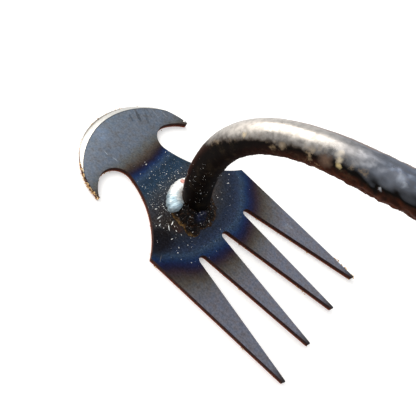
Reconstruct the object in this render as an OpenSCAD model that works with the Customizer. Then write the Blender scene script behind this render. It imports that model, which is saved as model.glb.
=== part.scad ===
// Two-ended hand weeder: a four-tined rake and a crescent hoe cut from one steel sheet,
// welded under a bent tube handle with a rubber grip.
// The head lies flat on its underside. The origin is on the underside, below the middle
// of the handle's foot. +X runs to the tines, +Z up.

/* [Head] */
// Thickness of the sheet that the whole head is cut from
plate_t = 3.5; // [2:0.1:6]
// Width of the neck where it is narrowest
neck_w = 28.8; // [20:0.2:36]
// Radius of the neck's hollow side, from the hook to the shoulder
neck_r = 57.5; // [45:0.5:80]
// Width over the two shoulders
shoulder_w = 84.4; // [76:0.2:96]
// Distance of the shoulder corners ahead of the handle's foot
shoulder_x = 4.1; // [0:0.1:12]

/* [Crescent hoe] */
// Radius of the crescent's cutting edge
crescent_r = 38.8; // [34:0.2:46]
// Distance of the crescent's centre behind the handle's foot
crescent_x = 34.8; // [28:0.2:40]
// How far the hand-ground crescent sits off the head's middle line
crescent_shift = 1.2; // [0:0.1:2.5]
// Width of the ground edge at the front of the crescent
bevel_w = 4.2; // [2:0.1:8]
// How far ahead of the crescent's centre the grinding sweep is centred, so that the edge runs out
bevel_sweep = 9.4; // [4:0.1:12]
// Width over the inner corners of the two horn ends
horn_w = 77.2; // [70:0.2:84]
// Distance of the horn ends behind the handle's foot, at the middle of the two
horn_x = 37.1; // [33:0.1:40]
// How much further forward the sharp right-hand horn is drawn out than the snub left-hand one
horn_skew = 3; // [0:0.2:6]
// Radius of the horn's inner edge
horn_r = 27.5; // [18:0.5:45]
// Radius of the hook between horn and neck
hook_r = 9.7; // [6:0.1:11]
// Distance of the hook's centre behind the handle's foot
hook_x = 37; // [32:0.1:40]

/* [Tines] */
// Distance of the tine tips ahead of the handle's foot
tine_x = 95.2; // [70:0.2:130]
// Width over the middles of the two outer tips
outer_tip_w = 80.8; // [70:0.2:90]
// Width over the middles of the two inner tips
inner_tip_w = 27.8; // [22:0.2:36]
// Radius of the rounded tips
tip_r = 0.7; // [0.4:0.1:1.4]
// Radius of the slot roots
slot_r = 2.6; // [1.5:0.1:4]
// Spacing of the three slot roots across the head
slot_pitch = 21.4; // [18:0.2:24]
// Distance of the slot roots' centres ahead of the handle's foot
slot_x = 24; // [18:0.2:34]

/* [Handle tube] */
// Outside diameter of the tube
tube_od = 16; // [12:0.5:20]
// Wall of the tube
tube_wall = 1.5; // [1:0.1:3]
// Lean of the foot toward the crescent, from upright
lean = 17.5; // [5:0.5:22]
// Straight length of the tube above the head, before it bends
foot_len = 10; // [9:0.5:25]
// Radius of the bend's slow start
bend_r_start = 93; // [60:1:140]
// Radius of the bend's tight middle
bend_r_mid = 55; // [40:1:80]
// Radius of the bend's slow end
bend_r_end = 97; // [60:1:140]
// Rise of the straight handle above the head's plane, in degrees
rise = 21; // [5:1:35]
// Length of the straight tube after the bend
straight_len = 190; // [150:1:300]

/* [Weld] */
// Reach of the bright bead beyond the tube, on the crescent's side
bead_leg = 8.8; // [4:0.1:10]
// Height of the bead above the head
bead_h = 6.6; // [4:0.1:9]
// Length of one ripple of the bead, along the bead
ripple = 2.3; // [1.6:0.1:4]
// Reach of the dark fillet round the rest of the foot
fillet_leg = 6.2; // [3:0.1:8]
// How far that fillet's ring sits off the foot's middle, toward the edge with the longer reach
fillet_shift = 1.8; // [0:0.1:2.5]
// Height of that fillet on the tube
fillet_h = 6.5; // [3:0.1:9]
// Thickness that the fillet keeps at its top
fillet_lip = 0.1; // [0.1:0.1:1]

/* [Grip] */
// Length of the rubber sleeve over the tube, without its solid end
grip_len = 118; // [80:1:140]
// Diameter of the sleeve's body
grip_od = 27; // [22:0.5:36]
// Diameter of the collar at the sleeve's mouth
collar_od = 33; // [28:0.5:42]
// Length of that collar
collar_len = 5; // [3:0.5:10]
// Length of the solid end past the tube
grip_end = 20; // [16:0.5:30]
// Distance from one ring groove to the next
groove_pitch = 7.5; // [5:0.5:15]
// Radius of a ring groove
groove_r = 1.6; // [0.8:0.1:2.4]
// Gap between sleeve and tube
grip_gap = 0.1; // [0:0.05:0.4]
// Diameter of the hole that the tool hangs by
hang_d = 7; // [4:0.5:9]
// Thickness of the flattened end round that hole
tab_t = 13; // [9:0.5:18]
// Distance of the flattened end past the tube
tab_gap = 2; // [1:0.5:5]
// Radius of the rounding at the sleeve's far end
dome_r = 6.75; // [3:0.25:9]

/* [Hidden] */
$fn = 72;
// Room that cuts run past what they cut
past = 5;
// Half size of the sheet that the crescent is cut from
blank = crescent_x + crescent_r + past;
// Sides of the bent tube's mesh, and the turn between two of its rings
ring_n = 36;
ring_angle = 4;
// Angles, seen in the plane of the bend, where its three arcs meet
foot_angle = 90 + lean;
start_angle = 86;
end_angle = 40;
// Longest step between two points of an outline's arc, and the fewest steps in one
arc_step = 1.6;
arc_least = 8;
// Angles round the foot, from +X, between which the bright bead runs
bead_from = 135;
bead_to = 236;
// Share of its leg and height to which the dark fillet's hollow face sags in its middle
fillet_sag = 1 / 3;

// Direction at an angle, and the points of an arc, without its last
function dir(a) = [cos(a), sin(a)];
function arc(c, r, a, b) =
    let (n = max(arc_least, ceil(abs(b - a) / 180 * PI * r / arc_step)))
    [for (i = [0 : n - 1]) c + r * dir(a + (b - a) * i / n)];
function angle_of(v) = (atan2(v.y, v.x) + 360) % 360;

// The line that touches circle c1 on one side and circle c2 on the other: the angle of its
// left-hand normal. s1 and s2 are the radii, negative where it passes right of the centre.
function touch(c1, s1, c2, s2) =
    let (d = c2 - c1) atan2(d.y, d.x) - asin((s1 - s2) / norm(d)) + 90;

// Centre of the circle of radius r that holds circle (c, rc) inside it, touching, and passes
// through p: side chooses between the two
function around(c, rc, p, r, side) =
    let (d = norm(p - c), u = (p - c) / d, k = ((r - rc) * (r - rc) - r * r + d * d) / (2 * d))
    c + k * u + side * sqrt((r - rc) * (r - rc) - k * k) * [-u.y, u.x];

// Centres and corners of the head's outline, on the +Y side
crescent_c = [-crescent_x, crescent_shift];
hook_c = [-hook_x, neck_w / 2 + hook_r];
shoulder = [shoulder_x, shoulder_w / 2];
neck_c = around(hook_c, hook_r, shoulder, neck_r, 1);
outer_tip = [tine_x - tip_r, outer_tip_w / 2];
inner_tip = [tine_x - tip_r, inner_tip_w / 2];
slot_root = [slot_x, slot_pitch];
mid_root = [slot_x, 0];
side_a = touch(shoulder, 0, outer_tip, tip_r);
slot_a = touch(slot_root, slot_r, outer_tip, -tip_r);
slot_b = touch(slot_root, -slot_r, inner_tip, tip_r);
mid_a = touch(mid_root, slot_r, inner_tip, -tip_r);

// Centreline of the handle in the XZ plane
foot = [0, plate_t];
function run(p, a, len) = p + len * dir(a);
function bend_c(p, a, r) = p + r * dir(a - 90);
function bend_end(p, a, r, b) = bend_c(p, a, r) + r * dir(b + 90);
bend_1 = run(foot, foot_angle, foot_len);
bend_2 = bend_end(bend_1, foot_angle, bend_r_start, start_angle);
bend_3 = bend_end(bend_2, start_angle, bend_r_mid, end_angle);
bend_4 = bend_end(bend_3, end_angle, bend_r_end, rise);
handle_end = run(bend_4, rise, straight_len);

// Points and directions along that line, after the foot
function dir3(a) = [cos(a), 0, sin(a)];
function bend_stops(p, a, r, b) =
    let (n = ceil((a - b) / ring_angle))
    [for (i = [1 : n]) let (c = a + (b - a) * i / n) [bend_end(p, a, r, c), c]];
line_stops = concat(
    [[bend_1, foot_angle]],
    bend_stops(bend_1, foot_angle, bend_r_start, start_angle),
    bend_stops(bend_2, start_angle, bend_r_mid, end_angle),
    bend_stops(bend_3, end_angle, bend_r_end, rise),
    [[handle_end, rise]]
);
function ring(p, a, r) = [for (k = [0 : ring_n - 1])
    let (t = 360 * k / ring_n)
    [p.x, 0, p.y] + r * cos(t) * dir3(a + 90) + [0, r * sin(t), 0]];

// Half of the head's outline, drawn on the +Y side, from beyond the crescent to the middle
// slot. Its horn ends end_x behind the foot, or sooner where the crescent's edge cuts it.
function half_outline(end_x) =
    let (end = [-end_x, horn_w / 2], horn_c = around(hook_c, hook_r, end, horn_r, -1))
    concat(
        [[-blank, blank], [-end_x, blank]],
        arc(horn_c, horn_r, angle_of(end - horn_c), angle_of(hook_c - horn_c)),
        arc(hook_c, hook_r, angle_of(hook_c - horn_c), angle_of(hook_c - neck_c)),
        arc(neck_c, neck_r, angle_of(hook_c - neck_c), angle_of(shoulder - neck_c)),
        [shoulder],
        arc(outer_tip, tip_r, side_a, slot_a - 180),
        [outer_tip + tip_r * dir(slot_a - 180)],
        arc(slot_root, slot_r, slot_a, slot_b + 180),
        [slot_root + slot_r * dir(slot_b + 180)],
        arc(inner_tip, tip_r, slot_b, mid_a - 180),
        [inner_tip + tip_r * dir(mid_a - 180)],
        arc(mid_root, slot_r, mid_a, 180)
    );
function outline() =
    let (left = half_outline(horn_x + horn_skew / 2), right = half_outline(horn_x - horn_skew / 2))
    concat(
        left,
        [mid_root - [slot_r, 0]],
        [for (i = [len(right) - 1 : -1 : 0]) [right[i].x, -right[i].y]]
    );

module head_plate() {
    edge_c = [crescent_c.x + bevel_sweep, crescent_c.y, 0];
    edge_r = crescent_r + bevel_sweep;
    waist_x = (shoulder_x - horn_x) / 2;
    color("slategray")
    difference() {
        linear_extrude(plate_t) polygon(outline());
        // all that lies outside the crescent's cutting edge and its ground cone
        difference() {
            translate([-blank - past, -blank - past, -past])
                cube([blank + past + waist_x, 2 * (blank + past), plate_t + 2 * past]);
            intersection() {
                translate([crescent_c.x, crescent_c.y, -2 * past])
                    cylinder(h = plate_t + 4 * past, r = crescent_r);
                translate(edge_c)
                    cylinder(h = plate_t, r1 = edge_r, r2 = edge_r - bevel_w);
            }
        }
    }
}

// Closed mesh of a tube through rings of points, with its bore's rings
module tube_mesh(outer, inner) {
    n = len(outer[0]);
    last = len(outer) - 1;
    size = len(outer) * n;
    points = concat([for (ring = outer) each ring], [for (ring = inner) each ring]);
    // one band of triangles between two rings that start at points p and q
    function band(p, q) = [for (k = [0 : n - 1], half = [0, 1])
        half == 0 ? [p + k, p + (k + 1) % n, q + (k + 1) % n] : [p + k, q + (k + 1) % n, q + k]];
    polyhedron(points, concat(
        [for (i = [0 : last - 1]) each band(i * n, (i + 1) * n)],
        [for (i = [0 : last - 1]) each band(size + (i + 1) * n, size + i * n)],
        band(size, 0),
        band(last * n, size + last * n)
    ));
}

// Rings of points round the handle's line at radius r: the first is cut off by the head
function rings(r) = concat(
    [[for (q = ring(foot, foot_angle, r)) q + (foot.y - q.z) / sin(foot_angle) * dir3(foot_angle)]],
    [for (s = line_stops) ring(s[0], s[1], r)]
);

module handle_tube() {
    color("saddlebrown") tube_mesh(rings(tube_od / 2), rings(tube_od / 2 - tube_wall));
}

// Everything under the head's top face
module under_top() {
    translate([-2 * tube_od, -2 * tube_od, plate_t - 2 * tube_od])
        cube([4 * tube_od, 4 * tube_od, 2 * tube_od]);
}

// The foot of the tube as a solid, for the weld to fit round
module foot_solid() {
    start = run(foot, foot_angle, -tube_od);
    translate([start.x, 0, start.y]) rotate([0, 90 - foot_angle, 0])
        cylinder(h = foot_len + tube_od, d = tube_od);
}

module weld_bead() {
    lump_r = (bead_leg + bead_h) / 3;
    path_r = tube_od / 2 + bead_leg - lump_r;
    count = ceil((bead_to - bead_from) / 180 * PI * path_r / ripple);
    color("gainsboro")
    difference() {
        for (i = [0 : count])
            rotate(bead_from + (bead_to - bead_from) * i / count)
                translate([path_r, 0, plate_t + bead_h - lump_r]) sphere(lump_r);
        foot_solid();
        under_top();
    }
}

module weld_fillet() {
    foot_r = tube_od / 2 + fillet_leg;
    color("black")
    difference() {
        translate([0, -fillet_shift, plate_t])
            rotate(bead_to) rotate_extrude(angle = 360 - (bead_to - bead_from))
                polygon([[tube_od / 4, 0], [foot_r, 0],
                         [tube_od / 2 + fillet_sag * fillet_leg, fillet_sag * fillet_h],
                         [tube_od / 2 + fillet_lip, fillet_h], [tube_od / 4, fillet_h]]);
        foot_solid();
        under_top();
    }
}

// Places its children on the straight handle, s past the bend
module on_handle(s) {
    p = run(bend_4, rise, s);
    translate([p.x, 0, p.y]) rotate([0, 90 - rise, 0]) children();
}

module grip_sleeve() {
    total = grip_len + grip_end;
    grooves = floor((grip_len - collar_len - 2 * groove_pitch) / groove_pitch);
    color("dimgray")
    on_handle(straight_len - grip_len)
        difference() {
            rotate_extrude()
                difference() {
                    union() {
                        square([grip_od / 2, total - dome_r]);
                        square([grip_od / 2 - dome_r, total]);
                        translate([grip_od / 2 - dome_r, total - dome_r]) circle(dome_r);
                        square([collar_od / 2, collar_len]);
                    }
                    for (i = [1 : grooves])
                        translate([grip_od / 2, collar_len + groove_pitch * i + groove_pitch / 2])
                            circle(groove_r);
                }
            translate([0, 0, -past]) cylinder(h = grip_len + past, d = tube_od + 2 * grip_gap);
            for (side = [-1, 1])
                translate([-grip_od, side * (tab_t / 2 + grip_od / 2) - grip_od / 2,
                           grip_len + tab_gap])
                    cube([2 * grip_od, grip_od, grip_end]);
            translate([0, grip_od, grip_len + grip_end / 2]) rotate([90, 0, 0])
                cylinder(h = 2 * grip_od, d = hang_d);
        }
}

head_plate();
handle_tube();
weld_bead();
weld_fillet();
grip_sleeve();
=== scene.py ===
# Two-ended hand weeder: a four-tined rake and a crescent hoe cut from one steel sheet,
# welded under a bent tube handle. Metres, +X to the tines, +Z up, the sheet lying on z = 0.
import math
import random

import bpy
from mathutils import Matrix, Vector


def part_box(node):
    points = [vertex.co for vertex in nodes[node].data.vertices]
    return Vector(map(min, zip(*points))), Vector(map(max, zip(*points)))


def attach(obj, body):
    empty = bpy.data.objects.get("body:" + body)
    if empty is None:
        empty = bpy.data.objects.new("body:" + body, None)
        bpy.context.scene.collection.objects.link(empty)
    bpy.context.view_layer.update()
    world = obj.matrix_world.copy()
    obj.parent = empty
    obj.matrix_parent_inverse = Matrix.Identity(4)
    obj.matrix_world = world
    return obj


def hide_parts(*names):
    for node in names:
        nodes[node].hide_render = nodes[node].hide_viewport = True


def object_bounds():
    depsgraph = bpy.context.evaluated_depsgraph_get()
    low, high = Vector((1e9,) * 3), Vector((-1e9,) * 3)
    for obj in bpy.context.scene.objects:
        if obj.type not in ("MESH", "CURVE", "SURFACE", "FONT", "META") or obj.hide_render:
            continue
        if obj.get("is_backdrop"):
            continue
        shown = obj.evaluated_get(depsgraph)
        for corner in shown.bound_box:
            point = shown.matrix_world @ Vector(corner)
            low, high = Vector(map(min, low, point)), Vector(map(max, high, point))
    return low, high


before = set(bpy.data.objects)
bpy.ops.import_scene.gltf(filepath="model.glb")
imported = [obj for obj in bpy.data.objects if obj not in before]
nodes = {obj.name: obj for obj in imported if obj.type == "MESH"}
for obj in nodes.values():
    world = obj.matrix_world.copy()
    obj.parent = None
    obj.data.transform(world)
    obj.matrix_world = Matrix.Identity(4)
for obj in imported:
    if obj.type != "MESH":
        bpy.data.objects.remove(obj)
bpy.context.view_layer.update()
MM = 0.001


# Camera
# The photograph looks down on the tool from its right-hand side, tilted a good third of a
# right angle, so that the tines run to the lower right. A normal lens on a 36 mm sensor.
camera_at = (19.73 * MM, -169.84 * MM, 247.58 * MM)
camera_turn = (28.898, -21.901, 38.502)
camera_lens = 46.73

bpy.ops.object.select_all(action="DESELECT")
bpy.ops.object.camera_add(location=camera_at, rotation=[math.radians(a) for a in camera_turn])
camera = bpy.context.object
camera.name = "camera"
camera.data.lens = camera_lens
camera.data.sensor_width = 36
camera.data.clip_start = 0.01
camera.data.clip_end = 20
bpy.context.scene.camera = camera


# Head
# The real head is one piece of 3.5 mm carbon steel sheet, flame-cut to four tines and a
# crescent. The rolled faces keep their mill scale, the crescent is ground by hand to a bright
# edge, and the heat of the weld has drawn tint colours round the handle's foot.
plate_low, plate_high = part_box("head_plate")
plate_t = plate_high.z - plate_low.z
edge_round = 0.35 * MM
foot_at = Vector((0, 0, plate_high.z))

# The tint's purple line: an arc on the tines' side, a straight line across the neck
tint_arc_at = Vector((-24.6 * MM, 0, plate_high.z))
tint_arc_r = 55.6 * MM
tint_neck_x = -36.6 * MM
# Heat tint from the weld outward, in millimetres past the purple line: toward the tines, and
# toward the crescent, where the sheet is narrower and got hotter
tine_tints = [
    (-26, "#443e3a"), (-19, "#30333a"), (-14, "#2a3243"), (-10, "#323c51"), (-7.5, "#38495f"),
    (-4, "#223456"), (-1.8, "#222747"), (0, "#27253a"), (2, "#382d37"), (5, "#49413e"),
    (8, "#59544f"), (13, "#69686b"), (20, "#767782"), (34, "#7b7d89"),
]
crescent_tints = [
    (-24, "#3b3c42"), (-18, "#3b434c"), (-13, "#2c3f52"), (-8, "#2a3a4c"), (-5.5, "#394b62"),
    (-3, "#213358"), (-1, "#212138"), (1, "#39302f"), (3.5, "#514a44"), (7, "#5f6161"),
    (12, "#69717d"), (22, "#6a727e"), (34, "#66717e"),
]
# Marks on the rolled face, each an oval: its middle, half length and half width in
# millimetres, its turn in degrees, its colour and how strong it is. They are soot at the
# right-hand shoulder and by the weld, a burnt patch, bare scale on a tine and the crescent,
# grinding slips and a few scratches.
marks = [
    (-1, -34, 13, 9, 60, "#1f1c1e", 0.85), (2.4, -18.4, 4.2, 2.6, 20, "#46302a", 0.6),
    (10.5, 2, 4.5, 2.4, 80, "#33241c", 0.6), (47, 34.5, 3.6, 2.6, 25, "#9aa0ab", 0.35),
    (-59.7, 18.2, 4.6, 1.1, -22, "#343a40", 0.65), (-61.9, 14.1, 3.2, 0.8, -21, "#40464d", 0.55),
    (-56, 21.8, 6, 0.9, -33, "#4b5259", 0.45), (-52.1, 32.6, 4.2, 0.35, -2, "#8d97a1", 0.4),
    (-54, -15.1, 1.8, 0.25, -2, "#a9b2ba", 0.5), (-48.3, -14, 1.8, 0.25, 10, "#a9b2ba", 0.5),
    (7.5, -38.6, 2.3, 0.2, -60, "#8f9296", 0.6), (58.4, -39, 6.5, 0.18, -17, "#8e939c", 0.45),
    (-64.9, -8.3, 6, 5, 0, "#75869f", 0.35), (-55, 28.3, 5, 0.35, -8, "#87919c", 0.35),
    (-49.6, 29.2, 4.5, 0.4, -4, "#3f454c", 0.35), (-58, 25.6, 5, 0.35, -14, "#3f454c", 0.35),
]
# The ground cone of the crescent's edge: its middle, its radius at the foot, how far it runs in
# and how far inside it the bright finish starts. The crescent lies wholly behind crescent_x.
ground_at = Vector((-25.4 * MM, 1.2 * MM, 0))
ground_r = 48.2 * MM
ground_run = 4.2 * MM
ground_slack = 0.25 * MM
crescent_x = -20 * MM


def colour(code):
    """Linear RGBA of an sRGB hex value."""
    parts = [int(code[i:i + 2], 16) / 255 for i in (1, 3, 5)]
    return [p / 12.92 if p <= 0.04045 else ((p + 0.055) / 1.055) ** 2.4 for p in parts] + [1]


def add(tree, kind, inputs=(), stops=None, **settings):
    """Adds a node with its settings, its inputs as values or links, and a colour ramp's stops.
    An input goes by its name, or by its number where several have one name, as the two colours
    of a Mix do. Returns the node's first output that is in use."""
    made = tree.nodes.new("ShaderNode" + kind)
    for name, value in settings.items():
        setattr(made, name, value)
    for socket, value in dict(inputs).items():
        if isinstance(value, bpy.types.NodeSocket):
            tree.links.new(value, made.inputs[socket])
        else:
            made.inputs[socket].default_value = value
    if stops:
        low, high = stops[0][0], stops[-1][0]
        ramp = made.color_ramp
        while len(ramp.elements) < len(stops):
            ramp.elements.new(1)
        for element, (place, shade) in zip(ramp.elements, stops):
            element.position = (place - low) / (high - low)
            element.color = colour(shade)
    return next(socket for socket in made.outputs if socket.enabled)


def finish(name, metallic, roughness):
    """A new node material: its tree, its main shader and its coordinates."""
    made = bpy.data.materials.new(name)
    made.use_nodes = True
    shader = made.node_tree.nodes["Principled BSDF"]
    shader.inputs["Metallic"].default_value = metallic
    shader.inputs["Roughness"].default_value = roughness
    place = add(made.node_tree, "TexCoord").node.outputs
    return made, made.node_tree, shader, place


# Mill-finish carbon steel: rolled, blue-grey and half glossy, with a faint grain along the
# rolling. Its cut walls are burnt brown and its ground edge is bare and bright.
head_steel, tree, shader, place = finish("mill_finish_steel_heat_tinted", 1, 0.4)
shader.inputs["Specular IOR Level"].default_value = 0.1
point = place["Object"]
along = add(tree, "SeparateXYZ", {0: point}).node.outputs
normal = add(tree, "SeparateXYZ", {0: place["Normal"]}).node.outputs

# How far each point lies past the purple line on either side, a little uneven
wobble = add(tree, "TexNoise", {"Vector": point, "Scale": 1 / (14 * MM), "Detail": 3})
wobble = add(tree, "MapRange", {"Value": wobble, "To Min": -2.5 * MM, "To Max": 2.5 * MM})
from_arc = add(tree, "VectorMath", {0: point, 1: tint_arc_at}, operation="DISTANCE")
past_arc = add(tree, "Math", {0: from_arc, 1: tint_arc_r}, operation="SUBTRACT")
past_neck = add(tree, "Math", {0: tint_neck_x, 1: along["X"]}, operation="SUBTRACT")
sides = []
for past, tints in ((past_arc, tine_tints), (past_neck, crescent_tints)):
    past = add(tree, "Math", {0: past, 1: wobble}, operation="ADD")
    past = add(tree, "MapRange", {"Value": past, "From Min": tints[0][0] * MM,
                                  "From Max": tints[-1][0] * MM})
    sides.append(add(tree, "ValToRGB", {"Fac": past}, stops=tints))
which = add(tree, "MapRange", {"Value": along["X"], "From Min": -14 * MM, "From Max": -2 * MM})
tint = add(tree, "Mix", {"Factor": which, 6: sides[1], 7: sides[0]}, data_type="RGBA")

for x, y, length, width, turn, shade, strength in marks:
    local = add(tree, "Mapping", {"Vector": point, "Location": (x * MM, y * MM, plate_high.z),
                                  "Rotation": (0, 0, math.radians(turn)),
                                  "Scale": (length * MM, width * MM, length * MM)},
                vector_type="TEXTURE")
    away = add(tree, "VectorMath", {0: local}, operation="LENGTH")
    inside = add(tree, "MapRange", {"Value": away, "From Min": 1.15, "From Max": 0.5,
                                    "To Max": strength}, interpolation_type="SMOOTHSTEP")
    tint = add(tree, "Mix", {"Factor": inside, 6: tint, 7: colour(shade)}, data_type="RGBA")
# The tines' last centimetre is darker, where the cutting flame lingered
flamed = add(tree, "MapRange", {"Value": along["X"], "From Min": 85 * MM, "From Max": 94 * MM,
                                "To Max": 0.85})
tint = add(tree, "Mix", {"Factor": flamed, 6: tint, 7: colour("#2e2725")}, data_type="RGBA")

# Clouds of thinner and thicker scale, warmer and cooler in tone
cloud = add(tree, "TexNoise", {"Vector": point, "Scale": 1 / (3 * MM), "Detail": 5, "Roughness": 0.65})
tone = add(tree, "ValToRGB", {"Fac": cloud},
           stops=[(0, "#e4d6cc"), (40, "#f3ece6"), (50, "#fbfbfb"), (60, "#eef4fb"), (100, "#dce8f6")])
tint = add(tree, "VectorMath", {0: tint, 1: tone}, operation="MULTIPLY")

# Rolling grain and blotches of scale, a few hundredths lighter and darker
grain_place = add(tree, "Mapping", {"Vector": point, "Rotation": (0, 0, math.radians(20)),
                                    "Scale": (1 / (14 * MM), 1 / (0.9 * MM), 1 / (14 * MM))})
grain = add(tree, "TexNoise", {"Vector": grain_place, "Scale": 1, "Detail": 4, "Roughness": 0.65})
blotch = add(tree, "TexNoise", {"Vector": point, "Scale": 1 / (1.1 * MM), "Detail": 4,
                                "Roughness": 0.65})
grain = add(tree, "MapRange", {"Value": grain, "From Min": 0.3, "From Max": 0.7,
                               "To Min": 0.79, "To Max": 0.94})
blotch = add(tree, "MapRange", {"Value": blotch, "From Min": 0.35, "From Max": 0.65,
                                "To Min": 0.78, "To Max": 1.28})
scale = add(tree, "Math", {0: grain, 1: blotch}, operation="MULTIPLY")
# Smoke of the weld lies round the foot in fine dark mottles
from_foot = add(tree, "VectorMath", {0: point}, operation="LENGTH")
smoked = add(tree, "MapRange", {"Value": from_foot, "From Min": 46 * MM, "From Max": 24 * MM})
smoke = add(tree, "TexNoise", {"Vector": point, "Scale": 1 / (0.9 * MM), "Detail": 3, "Roughness": 0.7})
smoke = add(tree, "MapRange", {"Value": smoke, "From Min": 0.36, "From Max": 0.62, "To Min": 0.6,
                               "To Max": 1.5})
smoke = add(tree, "Mix", {"Factor": smoked, "A": 1.0, "B": smoke})
scale = add(tree, "Math", {0: scale, 1: smoke}, operation="MULTIPLY")
face = add(tree, "VectorMath", {0: tint, 1: scale}, operation="MULTIPLY")

# Flame-cut walls: brown oxide with upright drag lines, rusty toward the underside
drag_place = add(tree, "Mapping", {"Vector": point, "Scale": (1, 1, 0.06)})
drag = add(tree, "TexNoise", {"Vector": drag_place, "Scale": 1 / (0.8 * MM), "Detail": 3})
wall = add(tree, "ValToRGB", {"Fac": drag},
           stops=[(0, "#0c0302"), (38, "#1c0905"), (62, "#351309"), (100, "#5e2814")])
low_rim = add(tree, "MapRange", {"Value": along["Z"], "From Min": 0.4 * MM, "From Max": 1.2 * MM,
                                 "To Min": 0.9, "To Max": 0})
wall = add(tree, "Mix", {"Factor": low_rim, 6: wall, 7: colour("#9a4a22")}, data_type="RGBA")
# The rounded upper edge is burnt dark, and draws a fine line round the face
top_rim = add(tree, "MapRange", {"Value": along["Z"], "From Min": plate_t - 0.5 * MM,
                                 "From Max": plate_t - 0.2 * MM, "To Max": 0.7})
wall = add(tree, "Mix", {"Factor": top_rim, 6: wall, 7: colour("#2c1710")}, data_type="RGBA")
upright = add(tree, "Math", {0: normal["Z"]}, operation="ABSOLUTE")
is_wall = add(tree, "MapRange", {"Value": upright, "From Min": 0.985, "From Max": 0.92})
skin = add(tree, "Mix", {"Factor": is_wall, 6: face, 7: wall}, data_type="RGBA")

# The hand-ground cone, which ends at a fine dark burr round the face
from_ground = add(tree, "VectorMath", {0: point, 1: ground_at}, operation="SUBTRACT")
flat = add(tree, "VectorMath", {0: from_ground, 1: (1, 1, 0)}, operation="MULTIPLY")
reach = add(tree, "VectorMath", {0: flat}, operation="LENGTH")
cone = add(tree, "MapRange", {"Value": along["Z"], "From Min": 0, "From Max": plate_t,
                              "To Min": ground_r - ground_slack,
                              "To Max": ground_r - ground_run - ground_slack})
past_cone = add(tree, "Math", {0: reach, 1: cone}, operation="SUBTRACT")
burr = add(tree, "MapRange", {"Value": past_cone, "From Min": -0.55 * MM, "From Max": -0.15 * MM,
                              "To Max": 0.75})
past_cone = add(tree, "Math", {0: past_cone, 1: 0}, operation="GREATER_THAN")
faces_up = add(tree, "Math", {0: normal["Z"], 1: 0.3}, operation="GREATER_THAN")
is_ground = add(tree, "Math", {0: past_cone, 1: faces_up}, operation="MULTIPLY")
on_crescent = add(tree, "Math", {0: along["X"], 1: crescent_x}, operation="LESS_THAN")
is_ground = add(tree, "Math", {0: is_ground, 1: on_crescent}, operation="MULTIPLY")
burr = add(tree, "Math", {0: burr, 1: on_crescent}, operation="MULTIPLY")
skin = add(tree, "Mix", {"Factor": burr, 6: skin, 7: colour("#22252a")}, data_type="RGBA")
# Fine scratches square to the edge, and a duller last millimetre
around = add(tree, "VectorMath", {0: flat}, operation="NORMALIZE")
scratch = add(tree, "TexNoise", {"Vector": around, "Scale": 120, "Detail": 4})
bright = add(tree, "ValToRGB", {"Fac": scratch},
             stops=[(0, "#858583"), (40, "#b2b2af"), (100, "#cacac6")])
thin = add(tree, "MapRange", {"Value": along["Z"], "From Min": 1.3 * MM, "From Max": 0.8 * MM,
                              "To Max": 0.85})
bright = add(tree, "Mix", {"Factor": thin, 6: bright, 7: colour("#6a645c")}, data_type="RGBA")
skin = add(tree, "Mix", {"Factor": is_ground, 6: skin, 7: bright}, data_type="RGBA")
tree.links.new(skin, shader.inputs["Base Color"])

metal = add(tree, "MapRange", {"Value": is_wall, "To Min": 0.9, "To Max": 0})
metal = add(tree, "Math", {0: metal, 1: is_ground}, operation="MAXIMUM")
tree.links.new(metal, shader.inputs["Metallic"])
rough = add(tree, "MapRange", {"Value": blotch, "From Min": 0.78, "From Max": 1.28,
                               "To Min": 0.36, "To Max": 0.5})
rough = add(tree, "Math", {0: is_wall, 1: 0.25, 2: rough}, operation="MULTIPLY_ADD")
rough = add(tree, "Math", {0: is_ground, 1: -0.35, 2: rough}, operation="MULTIPLY_ADD")
tree.links.new(rough, shader.inputs["Roughness"])
relief = add(tree, "Math", {0: drag, 1: is_wall}, operation="MULTIPLY")
relief = add(tree, "Math", {0: blotch, 1: 0.25, 2: relief}, operation="MULTIPLY_ADD")
bump = add(tree, "Bump", {"Height": relief, "Strength": 0.5, "Distance": 0.12 * MM})
tree.links.new(bump, shader.inputs["Normal"])


def copied(name, node, whole_faces=True):
    """A new piece that starts as a plain node's mesh, its loose triangles merged and, if it
    should have whole faces, the flat ones joined."""
    bpy.ops.object.select_all(action="DESELECT")
    piece = bpy.data.objects.new(name, nodes[node].data.copy())
    piece.data.materials.clear()
    bpy.context.scene.collection.objects.link(piece)
    bpy.context.view_layer.objects.active = piece
    piece.select_set(True)
    bpy.ops.object.mode_set(mode="EDIT")
    bpy.ops.mesh.select_all(action="SELECT")
    bpy.ops.mesh.remove_doubles(threshold=1e-6)
    if whole_faces:
        bpy.ops.mesh.dissolve_limited(angle_limit=math.radians(0.5))
    bpy.ops.object.mode_set(mode="OBJECT")
    return piece


def round_edges(piece, width, segments, sharpness):
    """Rounds the edges of the active piece that turn by more than that many degrees."""
    rounding = piece.modifiers.new("rounding", "BEVEL")
    rounding.width = width
    rounding.segments = segments
    rounding.limit_method = "ANGLE"
    rounding.angle_limit = math.radians(sharpness)
    bpy.ops.object.modifier_apply(modifier="rounding")


# The sheet with its cut edges rounded as handling leaves them
head = copied("head", "head_plate")
round_edges(head, edge_round, segments=2, sharpness=28)
bpy.ops.object.shade_smooth_by_angle(angle=math.radians(20))
head.data.materials.append(head_steel)
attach(head, "root")
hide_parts("head_plate")


# Slag beads
# Flame cutting left beads of slag and a ragged burr along the sheet's lower edges. Most were
# knocked off, but some stay, thickest on the right-hand horn and on the left-hand tine's tip.
slag_count = 900
# The horn lies past these two and clear of the ground cone, the tip past the next two
horn_x, horn_y, horn_clear = -34 * MM, -30 * MM, 39 * MM
tip_x, tip_y = 80 * MM, 37 * MM
clump_sizes = (1, 3, 10)
clump_spread = 0.3 * MM
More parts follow.
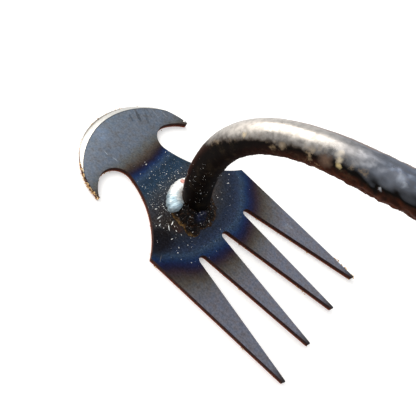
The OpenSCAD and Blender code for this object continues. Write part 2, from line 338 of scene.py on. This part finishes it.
# Elsewhere only this share of the beads stayed. Both climb the wall by so many millimetres.
stray_share = 0.1
clump_climb, stray_climb = 3.4, 0.3


def copies(first, count):
    """That many objects, all selected: the first and copies of it, each with its own mesh."""
    made = [first]
    while len(made) < count:
        made.append(first.copy())
        made[-1].data = first.data.copy()
        bpy.context.scene.collection.objects.link(made[-1])
        made[-1].select_set(True)
    return made


def scatter(name, places):
    """One piece of many drops: a low dome modelled once, then copied to each spot, turn and size."""
    bpy.ops.object.select_all(action="DESELECT")
    bpy.ops.mesh.primitive_uv_sphere_add(segments=8, ring_count=6, radius=1)
    bpy.ops.object.mode_set(mode="EDIT")
    bpy.ops.mesh.select_all(action="SELECT")
    bpy.ops.mesh.bisect(plane_co=(0, 0, -0.5), plane_no=(0, 0, 1), clear_inner=True, use_fill=True)
    bpy.ops.object.mode_set(mode="OBJECT")
    bpy.ops.object.shade_smooth()
    bpy.context.object.name = name
    for drop, place in zip(copies(bpy.context.object, len(places)), places):
        drop.location, drop.rotation_euler, drop.scale = place
    bpy.ops.object.transform_apply(location=True, rotation=True, scale=True)
    bpy.ops.object.join()
    return bpy.context.object


random.seed(3)
rim = [face for face in head.data.polygons
       if face.center.z < edge_round and -0.95 < face.normal.z < -0.1]
areas = [face.area for face in rim]
beads = []
while len(beads) < slag_count:
    face = random.choices(rim, areas)[0]
    ends = [head.data.vertices[i].co for i in face.vertices]
    spot = ends[0].lerp(ends[2], random.random())
    on_horn = spot.x < horn_x and spot.y < horn_y and (spot - ground_at).length > horn_clear
    on_tip = spot.x > tip_x and spot.y > tip_y and face.normal.y > 0
    thick = on_horn or on_tip
    if random.random() < (1 if thick else stray_share):
        level = random.random() * (clump_climb if thick else stray_climb) * MM
        for _ in range(random.choice(clump_sizes) if thick else 1):
            r = (0.1 + 0.32 * random.random() ** 2) * MM
            slip = Vector([random.gauss(middle, clump_spread) for middle in (0, 0, level)])
            slip += face.normal * (0.5 * MM if on_tip else 0)
            slip.z = max(r * 0.8, slip.z) - spot.z
            turn = random.random() * math.tau
            beads.append((spot + slip, (0, 0, turn), (1.5 * r, 0.9 * r, 0.8 * r)))
slag = scatter("slag", beads)

# Slag of a cutting flame: brown-black glass, golden and rust-red where it is thin
slag_glass, tree, shader, place = finish("flame_cut_slag", 0.3, 0.4)
film = add(tree, "TexNoise", {"Vector": place["Object"], "Scale": 1 / (1.1 * MM), "Detail": 2})
shade = add(tree, "ValToRGB", {"Fac": film},
            stops=[(0, "#24130a"), (36, "#4a2a14"), (44, "#ab7438"), (53, "#e8c893"), (100, "#fbf1da")])
tree.links.new(shade, shader.inputs["Base Color"])
slag.data.materials.append(slag_glass)
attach(slag, "root")


# Handle
# A 16 mm steel tube with a 1.5 mm wall, cut at a slant, set leaning on the head and bent cold in
# three sweeps over the tines. Its skin is dark, glossy furnace scale, dented, flaking and worn.
tube_r = 8.0 * MM
tube_sides = 64
# The lean toward the crescent in degrees, and the straight foot's length above the sheet. The
# tube starts further down the same line, and is cut off just inside the sheet's upper face.
lean = 17.5
foot_len = 10 * MM
below = 8 * MM
sunk = 0.3 * MM
# Each bend's radius, and the heading in degrees above +X at which the tube leaves it
bends = [(93 * MM, 86), (55 * MM, 40), (97 * MM, 21)]
straight_len = 190 * MM
ring_step = 1.2 * MM
# Flakes of scale stand up past the bend: where they start and end, and how soon they are full
flakes_from, flakes_to = 26 * MM, 115 * MM
flakes_rise, flakes_fall = 20 * MM, 30 * MM


def toward(heading):
    """The direction in the tool's middle plane at that many degrees above +X."""
    return Vector((math.cos(math.radians(heading)), 0, math.sin(math.radians(heading))))


def draw_out(length, heading):
    """Extrudes the selected end of the tube straight on, in rings one step apart."""
    count = max(1, round(length / ring_step))
    for _ in range(count):
        bpy.ops.mesh.extrude_region_move(
            TRANSFORM_OT_translate={"value": toward(heading) * (length / count)})


def roughen(piece, name, size, depth, level=0.5):
    """Pushes a piece's skin in and out by clouds of that size, within its group of that name."""
    grit = bpy.data.textures.new(name, "CLOUDS")
    grit.noise_scale = size
    push = piece.modifiers.new(name, "DISPLACE")
    push.vertex_group = name if name in piece.vertex_groups else ""
    push.texture = grit
    push.texture_coords = "LOCAL"
    push.strength = depth
    push.mid_level = level
    bpy.ops.object.modifier_apply(modifier=name)


heading = 90 + lean
here = foot_at - toward(heading) * below
bpy.ops.object.select_all(action="DESELECT")
bpy.ops.mesh.primitive_circle_add(vertices=tube_sides, radius=tube_r, fill_type="NGON",
                                  location=here, rotation=(0, math.radians(90 - heading), 0))
tube = bpy.context.object
tube.name = "tube"
bpy.ops.object.transform_apply(location=True, rotation=True, scale=True)
bpy.ops.object.mode_set(mode="EDIT")
bpy.ops.mesh.select_all(action="SELECT")
draw_out(below + foot_len, heading)
here = here + toward(heading) * (below + foot_len)
for radius, leaves in bends:
    middle = here + toward(heading - 90) * radius
    turn = math.radians(heading - leaves)
    steps = max(2, round(turn * radius / ring_step))
    bpy.ops.mesh.spin(steps=steps, angle=-turn, center=middle, axis=(0, 1, 0))
    here = middle + toward(leaves + 90) * radius
    heading = leaves
draw_out(straight_len, heading)
bpy.ops.mesh.select_all(action="SELECT")
bpy.ops.mesh.bisect(plane_co=(0, 0, plate_high.z - sunk), plane_no=(0, 0, 1), clear_inner=True,
                    use_fill=True)
bpy.ops.mesh.select_all(action="SELECT")
bpy.ops.mesh.normals_make_consistent(inside=False)
bpy.ops.object.mode_set(mode="OBJECT")

# Shallow dents a few millimetres wide, finer lumps of scale, a rougher crust underneath, and
# the flakes past the bend, which wear off again toward the grip
underside = tube.vertex_groups.new(name="crust")
past_bend = tube.vertex_groups.new(name="flakes")
for vertex in tube.data.vertices:
    low = max(0, min(1, 0.3 - vertex.normal.z * 1.4))
    underside.add([vertex.index], low, "REPLACE")
    grown = min(1, (vertex.co.x - flakes_from) / flakes_rise, (flakes_to - vertex.co.x) / flakes_fall)
    past_bend.add([vertex.index], max(0, grown) * (0.55 + 0.45 * low), "REPLACE")
roughen(tube, "dents", 9 * MM, 0.35 * MM)
roughen(tube, "scale", 2.2 * MM, 0.16 * MM)
roughen(tube, "crust", 1.9 * MM, 1.0 * MM)
roughen(tube, "flakes", 3 * MM, 1.7 * MM, level=0.05)
bpy.ops.object.shade_smooth_by_angle(angle=math.radians(50))

# Single splashes of film on its right-hand side, and three bluish-white painted highlight spots
# past the bend: middle and reach in millimetres, colour and strength
film_and_highlight_splashes = [
    (33, -5.8, 105, 1.7, "#d9cfc0", 0.6), (34.6, -7, 103.9, 1.5, "#cdbfa6", 0.75),
    (36, -7.7, 102.2, 1.2, "#c9b485", 0.8), (31, -7.9, 99.6, 3.2, "#7d6455", 0.55),
    (24.7, -7.1, 98.6, 1.1, "#a8977c", 0.5), (14.4, -7.8, 89.3, 1.6, "#a08e76", 0.5),
    (52.9, -7.9, 108.2, 1, "#c9cdd4", 0.6), (58.3, -5.8, 114.9, 1.4, "#b9c1cd", 0.4),
    (55.5, -4, 115.5, 2, "#b4bfd0", 0.3), (-1.3, -6.5, 77.5, 1.4, "#cdbb98", 0.6),
]

# Furnace-blackened steel tube: rubbed to glossy grey metal along its top by the hand, with
# ochre and cream films at the edge of the rub, and black to red-brown scale below and at its
# foot, where the weld burnt it. Its colours also paint light: the long highlight along the top,
# the shade below it, a brown sheen on the lamp's side and blue sky reflections past the bend.
tube_steel, tree, shader, place = finish("furnace_black_steel_tube", 0.9, 0.3)
shader.inputs["Specular IOR Level"].default_value = 0.04
point = place["Object"]
along = add(tree, "SeparateXYZ", {0: point}).node.outputs
normal = add(tree, "SeparateXYZ", {0: place["Normal"]}).node.outputs
cloud = add(tree, "TexNoise", {"Vector": point, "Scale": 1 / (9 * MM), "Detail": 6, "Roughness": 0.62})
fleck = add(tree, "TexNoise", {"Vector": point, "Scale": 1 / (2 * MM), "Detail": 4})

# How far the rub and its painted highlight reach, by the way the skin faces: from 0 in the black
# scale to 1 on the rubbed, highlit top
rub = add(tree, "VectorMath", {0: place["Normal"], 1: (-0.75, 0, 0.66)}, operation="DOT_PRODUCT")
rub = add(tree, "MapRange", {"Value": rub, "From Min": 0.09, "From Max": 0.94})
burnt = add(tree, "MapRange", {"Value": along["Z"], "From Min": 42 * MM, "From Max": 76 * MM,
                               "To Min": -0.9, "To Max": 0})
rub = add(tree, "Math", {0: rub, 1: burnt}, operation="ADD")
ragged = add(tree, "Math", {0: fleck, 1: 0.45, 2: cloud}, operation="MULTIPLY_ADD")
ragged = add(tree, "Math", {0: ragged, 1: 0.73}, operation="SUBTRACT")
rub = add(tree, "Math", {0: ragged, 1: 0.75, 2: rub}, operation="MULTIPLY_ADD", use_clamp=True)
# It narrows toward the user, as the painted highlight does past the bend
highlight_narrowing = add(tree, "MapRange", {"Value": along["X"], "From Min": 26 * MM, "From Max": 58 * MM,
                              "To Max": -0.55})
outside_rub_and_highlight = add(tree, "Math", {0: 1, 1: rub}, operation="SUBTRACT")
rub = add(tree, "Math", {0: highlight_narrowing, 1: outside_rub_and_highlight, 2: rub}, operation="MULTIPLY_ADD", use_clamp=True)

# The scale: black, with a brown sheen painted on the crescent's side, which faces the lamp, a
# blue-grey sheen painted on top past the bend, and red-brown underneath
lamp_side_sheen = add(tree, "MapRange", {"Value": normal["X"], "From Min": -0.45, "From Max": -0.9})
scale = add(tree, "Mix", {"Factor": lamp_side_sheen, 6: colour("#050302"), 7: colour("#2a140b")},
            data_type="RGBA")
# Blue-grey sheen painted on the upper side past the bend
blue_and_sheen = add(tree, "MapRange", {"Value": along["X"], "From Min": 30 * MM, "From Max": 48 * MM})
upper = add(tree, "MapRange", {"Value": normal["Z"], "From Min": 0.22, "From Max": 0.62})
blue_and_sheen = add(tree, "Math", {0: blue_and_sheen, 1: upper}, operation="MULTIPLY")
faded = add(tree, "MapRange", {"Value": along["X"], "From Min": 54 * MM, "From Max": 68 * MM,
                               "To Min": 1, "To Max": 0.45})
blue_and_sheen = add(tree, "Math", {0: blue_and_sheen, 1: faded}, operation="MULTIPLY")
scale = add(tree, "Mix", {"Factor": blue_and_sheen, 6: scale, 7: colour("#62666f")}, data_type="RGBA")
under = add(tree, "MapRange", {"Value": normal["Z"], "From Min": 0.15, "From Max": -0.45})
outward = add(tree, "MapRange", {"Value": along["X"], "From Min": 0, "From Max": 34 * MM,
                                 "To Min": 0.1})
under = add(tree, "Math", {0: under, 1: outward}, operation="MULTIPLY")
underside_fleck = add(tree, "MapRange", {"Value": fleck, "From Min": 0.35, "From Max": 0.65, "To Min": 0.55,
                              "To Max": 1.25})
under = add(tree, "Math", {0: under, 1: underside_fleck}, operation="MULTIPLY", use_clamp=True)
scale = add(tree, "Mix", {"Factor": under, 6: scale, 7: colour("#4a210d")}, data_type="RGBA")

# The rubbed metal, whose ramp also paints the highlight and the shade across the tube. Past the
# bend it is bluer with a painted sky reflection, and smudged along the tube.
rubbed = add(tree, "ValToRGB", {"Fac": rub},
             stops=[(0, "#0a0604"), (10, "#251d18"), (25, "#4d4742"), (45, "#7c7874"), (70, "#a09c97"),
                    (100, "#b4afaa")])
smear_place = add(tree, "Mapping", {"Vector": point, "Rotation": (0, math.radians(30), 0),
                                    "Scale": (1 / (15 * MM), 1 / (3 * MM), 1 / (3 * MM))})
smear = add(tree, "TexNoise", {"Vector": smear_place, "Scale": 1, "Detail": 4, "Roughness": 0.55})
smear = add(tree, "MapRange", {"Value": smear, "From Min": 0.34, "From Max": 0.62, "To Min": 0.4})
speckle = add(tree, "MapRange", {"Value": fleck, "From Min": 0.4, "From Max": 0.55, "To Min": 0.82})
far = add(tree, "MapRange", {"Value": along["X"], "From Min": 20 * MM, "From Max": 52 * MM})
smear = add(tree, "Mix", {"Factor": far, "A": speckle, "B": smear})
# Bluer past the bend: painted sky reflection
sky_reflection_tint = add(tree, "Mix", {"Factor": far, 6: colour("#ffffff"), 7: colour("#9eaeca")},
             data_type="RGBA")
rubbed = add(tree, "VectorMath", {0: rubbed, 1: sky_reflection_tint}, operation="MULTIPLY")
rubbed = add(tree, "VectorMath", {0: rubbed, 1: smear}, operation="MULTIPLY")
is_rubbed = add(tree, "MapRange", {"Value": rub, "From Max": 0.15})
base = add(tree, "Mix", {"Factor": is_rubbed, 6: scale, 7: rubbed}, data_type="RGBA")
base = add(tree, "VectorMath", {0: base, 1: scale}, operation="MAXIMUM")
# The left-hand side, which the hand never rubs: a blue-grey sky reflection painted past the bend,
# and brown further round
beyond = add(tree, "MapRange", {"Value": along["X"], "From Min": -8 * MM, "From Max": 20 * MM})
for starts, most, past, shade in ((0.02, 0.8, far, "#5f6a7c"), (0.24, 0.9, beyond, "#5a3119")):
    left = add(tree, "MapRange", {"Value": normal["Y"], "From Min": starts, "From Max": 0.42,
                                  "To Max": most})
    left = add(tree, "Math", {0: left, 1: past}, operation="MULTIPLY")
    base = add(tree, "Mix", {"Factor": left, 6: base, 7: colour(shade)}, data_type="RGBA")

# Cream and ochre films where the rub ends, thickest at the end of the last bend
film = add(tree, "TexNoise", {"Vector": point, "Scale": 1 / (4.5 * MM), "Detail": 6, "Roughness": 0.7})
film = add(tree, "MapRange", {"Value": film, "From Min": 0.51, "From Max": 0.7, "To Max": 0.75})
for value, start, end, low, high in ((rub, 0.75, 0.3, 0, 1), (rub, 0, 0.1, 0.15, 1),
                                     (along["X"], 8 * MM, 36 * MM, 0.35, 0.9),
                                     (along["X"], 50 * MM, 38 * MM, 0.1, 1)):
    share = add(tree, "MapRange", {"Value": value, "From Min": start, "From Max": end,
                                   "To Min": low, "To Max": high})
    film = add(tree, "Math", {0: film, 1: share}, operation="MULTIPLY")
base = add(tree, "Mix", {"Factor": film, 6: base, 7: colour("#b89d78")}, data_type="RGBA")
for x, y, z, reach, shade, strength in film_and_highlight_splashes:
    away = add(tree, "VectorMath", {0: point, 1: (x * MM, y * MM, z * MM)}, operation="DISTANCE")
    away = add(tree, "Math", {0: fleck, 1: 3 * MM, 2: away}, operation="MULTIPLY_ADD")
    inside = add(tree, "MapRange", {"Value": away, "From Min": (reach * 1.2 + 1.5) * MM,
                                    "From Max": (reach * 0.3 + 1.5) * MM, "To Max": strength})
    base = add(tree, "Mix", {"Factor": inside, 6: base, 7: colour(shade)}, data_type="RGBA")
tree.links.new(base, shader.inputs["Base Color"])
metal = add(tree, "MapRange", {"Value": rub, "From Max": 0.3, "To Max": 0.95})
tree.links.new(metal, shader.inputs["Metallic"])
rough = add(tree, "MapRange", {"Value": cloud, "From Min": 0.3, "From Max": 0.7,
                               "To Min": 0.24, "To Max": 0.4})
matt = add(tree, "MapRange", {"Value": rub, "From Max": 0.3, "To Min": 0.2, "To Max": 0})
rough = add(tree, "Math", {0: rough, 1: matt}, operation="ADD")
tree.links.new(rough, shader.inputs["Roughness"])
bump = add(tree, "Bump", {"Height": fleck, "Strength": 0.35, "Distance": 0.15 * MM})
tree.links.new(bump, shader.inputs["Normal"])
tube.data.materials.append(tube_steel)
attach(tube, "root")
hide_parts("handle_tube")


# Bright weld bead
# One pass of weld along the crescent's side of the foot, laid as a row of overlapping lumps
# that froze one after another. It kept its bright, silvery skin.
bead_r = 5.3 * MM
bead_h = 6.6 * MM
lump_count = 13
# The run's own radius round the foot, and its start and end in degrees from +X
bead_path_r = 11.7 * MM
bead_from, bead_to = 135, 239
# The middle of the burnt speck
burnt_at = Vector((-13 * MM, 2.8 * MM, 9.6 * MM))

random.seed(5)
bpy.ops.object.select_all(action="DESELECT")
bpy.ops.mesh.primitive_uv_sphere_add(segments=40, ring_count=24, radius=bead_r)
for i, lump in enumerate(copies(bpy.context.object, lump_count)):
    angle = math.radians(bead_from + (bead_to - bead_from) * i / (lump_count - 1))
    away = bead_path_r + random.uniform(-0.15, 0.15) * MM
    lump.location = Vector((math.cos(angle), math.sin(angle), 0)) * away
    lump.location.z = plate_high.z + bead_h - bead_r
    lump.rotation_euler.z = angle + random.uniform(-0.1, 0.1)
    lump.scale = Vector((1, 0.5, 1)) * random.uniform(0.97, 1.02)
bpy.ops.object.transform_apply(location=True, rotation=True, scale=True)
bpy.ops.object.join()
bead = bpy.context.object
bead.name = "bead"


def melt(piece, grain):
    """Melts a piece's overlapping lumps into one closed skin of that grain."""
    merging = piece.modifiers.new("melt", "REMESH")
    merging.mode = "VOXEL"
    merging.voxel_size = grain
    bpy.ops.object.modifier_apply(modifier="melt")


def seat(piece):
    """Cuts a weld flat just below the sheet's upper face."""
    bpy.ops.object.mode_set(mode="EDIT")
    bpy.ops.mesh.select_all(action="SELECT")
    bpy.ops.mesh.bisect(plane_co=(0, 0, plate_high.z - sunk), plane_no=(0, 0, 1), clear_inner=True)
    bpy.ops.mesh.select_all(action="SELECT")
    bpy.ops.mesh.fill_holes(sides=0)
    bpy.ops.mesh.delete_loose()
    bpy.ops.object.mode_set(mode="OBJECT")


melt(bead, 0.25 * MM)
soften = bead.modifiers.new("soften", "SMOOTH")
soften.factor = 0.5
soften.iterations = 3
bpy.ops.object.modifier_apply(modifier="soften")
seat(bead)
bpy.ops.object.shade_smooth_by_angle(angle=math.radians(50))

# Bare weld metal: silvery, half glossy, with fine ripples across the run whose grooves carry painted
# shade, bluish painted shade toward its end, and a ragged red-brown burnt speck at its start.
bright_weld, tree, shader, place = finish("bright_rippled_weld_metal", 0.4, 0.35)
point = place["Object"]
along = add(tree, "SeparateXYZ", {0: point}).node.outputs
film = add(tree, "TexNoise", {"Vector": point, "Scale": 1 / (2.2 * MM), "Detail": 5})
# Bluish painted shade toward the -Y end
blue_shade = add(tree, "MapRange", {"Value": along["Y"], "From Min": -3 * MM, "From Max": -10 * MM,
                              "To Min": 0, "To Max": 0.5})
blue_shade = add(tree, "Math", {0: film, 1: 0.7, 2: blue_shade}, operation="MULTIPLY_ADD")
shade = add(tree, "ValToRGB", {"Fac": blue_shade},
            stops=[(0, "#ffffff"), (42, "#fefefb"), (58, "#e8eff1"), (82, "#bdd1db"), (100, "#8fadbd")])

# Ripples about a millimetre apart, each where the pool froze behind the arc
turn = add(tree, "Math", {0: along["Y"], 1: along["X"]}, operation="ARCTAN2")
turn = add(tree, "Math", {0: film, 1: 0.16, 2: turn}, operation="MULTIPLY_ADD")
turn = add(tree, "Math", {0: turn, 1: 85}, operation="MULTIPLY")
ripple = add(tree, "Math", {0: turn}, operation="SINE")
# Darker colour in the ripples' grooves: painted shade
groove_shade = add(tree, "MapRange", {"Value": ripple, "From Min": -0.5, "From Max": -1, "To Max": 0.35})
shade = add(tree, "Mix", {"Factor": groove_shade, 6: shade, 7: colour("#7a95a3")}, data_type="RGBA")
burnt = add(tree, "VectorMath", {0: point, 1: burnt_at}, operation="DISTANCE")
burnt = add(tree, "Math", {0: film, 1: -5 * MM, 2: burnt}, operation="MULTIPLY_ADD")
burnt = add(tree, "MapRange", {"Value": burnt, "From Min": 0, "From Max": -0.8 * MM, "To Max": 0.85})
shade = add(tree, "Mix", {"Factor": burnt, 6: shade, 7: colour("#b0604e")}, data_type="RGBA")
tree.links.new(shade, shader.inputs["Base Color"])
relief = add(tree, "Math", {0: ripple, 1: 0.3, 2: film}, operation="MULTIPLY_ADD")
bump = add(tree, "Bump", {"Height": relief, "Strength": 0.6, "Distance": 0.3 * MM})
tree.links.new(bump, shader.inputs["Normal"])
bead.data.materials.append(bright_weld)
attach(bead, "root")
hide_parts("weld_bead")


# Dark weld fillet
# The rest of the foot was welded in a second pass that burnt: a lumpy black collar with a
# brown rim. It starts from the plain fillet's form and is roughened.

# A tongue of it ran out to the front right: a flattened lump of this size and place
tongue_r = 5.2 * MM
tongue_flat = (1, 0.9, 0.36)
tongue_at = Vector((8 * MM, -12.4 * MM, plate_high.z))
# The middle of its dark blue film
blued_at = Vector((7.6 * MM, -6.1 * MM, 8.7 * MM))

fillet = copied("fillet", "weld_fillet", whole_faces=False)
bpy.ops.object.select_all(action="DESELECT")
bpy.ops.mesh.primitive_uv_sphere_add(segments=24, ring_count=16, radius=tongue_r, location=tongue_at)
bpy.context.object.scale = tongue_flat
bpy.ops.object.transform_apply(location=False, rotation=False, scale=True)
fillet.select_set(True)
bpy.context.view_layer.objects.active = fillet
bpy.ops.object.join()
melt(fillet, 0.35 * MM)
roughen(fillet, "lumps", 3.2 * MM, 2.6 * MM)
roughen(fillet, "crust", 1.1 * MM, 0.8 * MM)
melt(fillet, 0.3 * MM)
seat(fillet)
bpy.ops.object.shade_smooth_by_angle(angle=math.radians(60))

# Burnt weld: black glassy oxide, brown and golden at its rim, with bare specks painted light as
# glints and one smooth patch that kept a blue tint
dark_weld, tree, shader, place = finish("burnt_weld_oxide", 0.1, 0.3)
shader.inputs["Specular IOR Level"].default_value = 0.06
point = place["Object"]
along = add(tree, "SeparateXYZ", {0: point}).node.outputs
crust = add(tree, "TexNoise", {"Vector": point, "Scale": 1 / (2 * MM), "Detail": 5, "Roughness": 0.6})
shade = add(tree, "ValToRGB", {"Fac": crust},
            stops=[(0, "#040303"), (46, "#080606"), (54, "#150d09"), (62, "#2e1d12"), (72, "#66523e"),
                   (100, "#b9b2aa")])
rim = add(tree, "MapRange", {"Value": along["Z"], "From Min": plate_high.z + 1.2 * MM,
                             "From Max": plate_high.z + 0.1 * MM})
patchy = add(tree, "MapRange", {"Value": crust, "From Min": 0.38, "From Max": 0.62, "To Min": 0.1})
rim = add(tree, "Math", {0: rim, 1: patchy}, operation="MULTIPLY")
golden = add(tree, "MapRange", {"Value": along["Y"], "From Min": -13.5 * MM, "From Max": -16.5 * MM})
golden = add(tree, "Mix", {"Factor": golden, 6: colour("#4c351f"), 7: colour("#94713f")},
             data_type="RGBA")
shade = add(tree, "Mix", {"Factor": rim, 6: shade, 7: golden}, data_type="RGBA")
blue_and_sheen = add(tree, "VectorMath", {0: point, 1: blued_at}, operation="DISTANCE")
blue_and_sheen = add(tree, "MapRange", {"Value": blue_and_sheen, "From Min": 4.6 * MM, "From Max": 2.4 * MM,
                               "To Max": 0.7})
blue_and_sheen = add(tree, "Math", {0: blue_and_sheen, 1: patchy}, operation="MULTIPLY")
shade = add(tree, "Mix", {"Factor": blue_and_sheen, 6: shade, 7: colour("#28334f")}, data_type="RGBA")
# Light metal specks, painted as glints
painted_glint = add(tree, "TexNoise", {"Vector": point, "Scale": 1 / (0.8 * MM), "Detail": 2})
painted_glint = add(tree, "MapRange", {"Value": painted_glint, "From Min": 0.67, "From Max": 0.73})
shade = add(tree, "Mix", {"Factor": painted_glint, 6: shade, 7: colour("#cfccc8")}, data_type="RGBA")
tree.links.new(shade, shader.inputs["Base Color"])
metal = add(tree, "Math", {0: painted_glint, 1: blue_and_sheen}, operation="MAXIMUM")
tree.links.new(metal, shader.inputs["Metallic"])
bump = add(tree, "Bump", {"Height": crust, "Strength": 0.6, "Distance": 0.4 * MM})
tree.links.new(bump, shader.inputs["Normal"])
fillet.data.materials.append(dark_weld)
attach(fillet, "root")
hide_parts("weld_fillet")


# Spatter
# Drops of weld metal that flew off and froze on the sheet and the tube: bright beads a few
# tenths of a millimetre across, thickest on the crescent's side, and long splashes to the right.
drops_on_sheet, drops_on_tube = 420, 130
# Where most drops lie, with the spread: their distance from the foot's middle in millimetres,
# and their side in degrees from +X, on the sheet and on the tube
usual_away = (21, 8)
usual_side, usual_tube_side = (195, 65), (220, 45)
# How near the foot's middle and how far from it a drop may lie on the sheet
drops_from, drops_to = 13 * MM, 46 * MM
# A drop's place is found by looking straight down at the sheet from so many millimetres up, or
# level at the tube from so many beside its foot
look_down_from, look_in_from = 20, 30
# Long splashes: where each starts and ends on the sheet, and their half width and height
long_splashes = [
    ((-8.6, -23.1), (-8.4, -19.2)), ((-0.9, -19.8), (-2.1, -16.6)), ((0.4, -23.1), (-2.2, -20.8)),
    ((-5.2, -25.4), (-5.6, -23.4)), ((4.2, -26.2), (4.6, -24.8)), ((-13.4, -19.6), (-12.6, -18.2)),
]
splash_half, splash_h = 0.25 * MM, 0.2 * MM
# One lump on the left-hand horn: its middle, turn and size
horn_lump = (Vector((-40.5 * MM, 39.3 * MM, plate_high.z)), (0, 0, 0.8),
             (1.1 * MM, 0.6 * MM, 0.5 * MM))

random.seed(7)
beads = []
while len(beads) < drops_on_sheet:
    away = random.gauss(*usual_away) * MM
    angle = math.radians(random.gauss(*usual_side))
    spot = Vector((away * math.cos(angle), away * math.sin(angle), plate_high.z))
    hit, struck, _, _ = head.ray_cast((spot.x, spot.y, look_down_from * MM), (0, 0, -1))
    if drops_from < away < drops_to and hit and struck.z > plate_high.z - 0.01 * MM:
        r = (0.09 + 0.22 * random.random() ** 4) * MM
        beads.append((spot, (0, 0, angle), (r, r, 0.7 * r)))
while len(beads) < drops_on_sheet + drops_on_tube:
    angle = math.radians(random.gauss(*usual_tube_side))
    aim = Vector((math.cos(angle), math.sin(angle), 0))
    level = (8 + 38 * random.random() ** 1.6) * MM
    _, struck, facing, _ = tube.ray_cast(aim * look_in_from * MM + Vector((0, 0, level)), -aim)
    r = (0.08 + 0.14 * random.random() ** 3) * MM
    beads.append((struck, facing.to_track_quat("Z", "Y").to_euler(), (r, r, r)))
for (x0, y0), (x1, y1) in long_splashes:
    spot = Vector((x0 + x1, y0 + y1, 0)) * (MM / 2)
    spot.z = plate_high.z
    half = math.hypot(x1 - x0, y1 - y0) * MM / 2
    beads.append((spot, (0, 0, math.atan2(y1 - y0, x1 - x0)), (half, splash_half, splash_h)))
beads.append(horn_lump)
spatter = scatter("spatter", beads)

# Frozen drops of bare weld metal
drop_metal, tree, shader, place = finish("frozen_weld_drops", 0.8, 0.3)
dull = add(tree, "TexNoise", {"Vector": place["Object"], "Scale": 1 / (5 * MM), "Detail": 2})
shade = add(tree, "ValToRGB", {"Fac": dull},
            stops=[(0, "#6a6e72"), (45, "#c0c4c7"), (58, "#fafaf6"), (100, "#ffffff")])
tree.links.new(shade, shader.inputs["Base Color"])
spatter.data.materials.append(drop_metal)
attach(spatter, "root")


# Grip
# A moulded rubber sleeve pushed over the tube's end, with ring grooves for the fingers, a
# collar at its mouth and a flattened end with a hole to hang it by.
grip_round = 0.5 * MM
grip = copied("grip", "grip_sleeve")
round_edges(grip, grip_round, segments=3, sharpness=30)
bpy.ops.object.shade_smooth_by_angle(angle=math.radians(35))

# Moulded rubber: matt black, finely grained by the mould, greyed a little by handling
rubber, tree, shader, place = finish("moulded_black_rubber", 0, 0.6)
shader.inputs["Specular IOR Level"].default_value = 0.3
point = place["Object"]
dust = add(tree, "TexNoise", {"Vector": point, "Scale": 1 / (12 * MM), "Detail": 5})
shade = add(tree, "ValToRGB", {"Fac": dust},
            stops=[(25, "#0e0e0f"), (55, "#161617"), (80, "#262627")])
tree.links.new(shade, shader.inputs["Base Color"])
pores = add(tree, "TexNoise", {"Vector": point, "Scale": 1 / (0.6 * MM), "Detail": 2})
bump = add(tree, "Bump", {"Height": pores, "Strength": 0.4, "Distance": 0.1 * MM})
tree.links.new(bump, shader.inputs["Normal"])
rough = add(tree, "MapRange", {"Value": dust, "To Min": 0.5, "To Max": 0.75})
tree.links.new(rough, shader.inputs["Roughness"])
grip.data.materials.append(rubber)
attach(grip, "root")
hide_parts("grip_sleeve")


# Studio
# A plain white floor, soft light from all round and one large lamp behind the crescent, which
# draws the long highlight on the tube.
floor_size = 24
# The floor lies this far under the sheet, so that the two don't touch
floor_gap = 0.05 * MM
# How brightly the floor shows by itself where it is looked at, and the world's light, weaker at
# the horizon than overhead
floor_glow = 0.25
horizon_light, overhead_light = 0.35, 0.9
# The lamp: the point that it looks at, its side and height in degrees, its distance and size in
# metres, its power in watts and its slightly warm colour
lamp_aim = Vector((30 * MM, 0, 40 * MM))
lamp_azimuth, lamp_elevation = math.radians(178), math.radians(30)
lamp_away = 1.1
lamp_size = 1.2
lamp_watts = 14
lamp_colour = "#fff8ee"


def looked_at(tree):
    """1 for what the camera, a reflection or glass sees, and 0 for what only gives light."""
    rays = add(tree, "LightPath").node.outputs
    seen = add(tree, "Math", {0: rays["Is Camera Ray"], 1: rays["Is Glossy Ray"]}, operation="MAXIMUM")
    return add(tree, "Math", {0: seen, 1: rays["Is Transmission Ray"]}, operation="MAXIMUM")


bpy.ops.object.select_all(action="DESELECT")
bpy.ops.mesh.primitive_plane_add(size=floor_size, location=(0, 0, -floor_gap))
floor = bpy.context.object
floor.name = "floor"
paper, tree, shader, place = finish("white_floor_paper", 0, 0.9)
fibre = add(tree, "TexNoise", {"Vector": place["Object"], "Scale": 1 / (300 * MM)})
shade = add(tree, "ValToRGB", {"Fac": fibre}, stops=[(0, "#f4f4f4"), (100, "#f8f8f8")])
tree.links.new(shade, shader.inputs["Base Color"])
glow = add(tree, "Math", {0: looked_at(tree), 1: floor_glow}, operation="MULTIPLY")
tree.links.new(glow, shader.inputs["Emission Strength"])
shader.inputs["Emission Color"].default_value = (1, 1, 1, 1)
floor.data.materials.append(paper)
floor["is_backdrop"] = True

# Soft light from all round, in front of a white backdrop
world = bpy.data.worlds.new("studio_air")
bpy.context.scene.world = world
world.use_nodes = True
tree = world.node_tree
along = add(tree, "SeparateXYZ", {0: add(tree, "TexCoord")}).node.outputs
light = add(tree, "MapRange", {"Value": along["Z"], "From Min": 0, "From Max": 0.9,
                               "To Min": horizon_light, "To Max": overhead_light})
light = add(tree, "Mix", {"Factor": looked_at(tree), "A": light, "B": 1.0})
tree.links.new(light, tree.nodes["Background"].inputs["Strength"])
tree.nodes["Background"].inputs["Color"].default_value = colour("#fbfcfd")

level = math.cos(lamp_elevation)
away = Vector((math.cos(lamp_azimuth) * level, math.sin(lamp_azimuth) * level,
               math.sin(lamp_elevation)))
bpy.ops.object.light_add(type="AREA", location=lamp_aim + away * lamp_away,
                         rotation=away.to_track_quat("Z", "Y").to_euler())
lamp = bpy.context.object
lamp.name = "key_box"
lamp.data.shape = "SQUARE"
lamp.data.size = lamp_size
lamp.data.energy = lamp_watts
lamp.data.color = colour(lamp_colour)[:3]

view = bpy.context.scene.view_settings
view.view_transform = "Standard"

low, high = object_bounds()
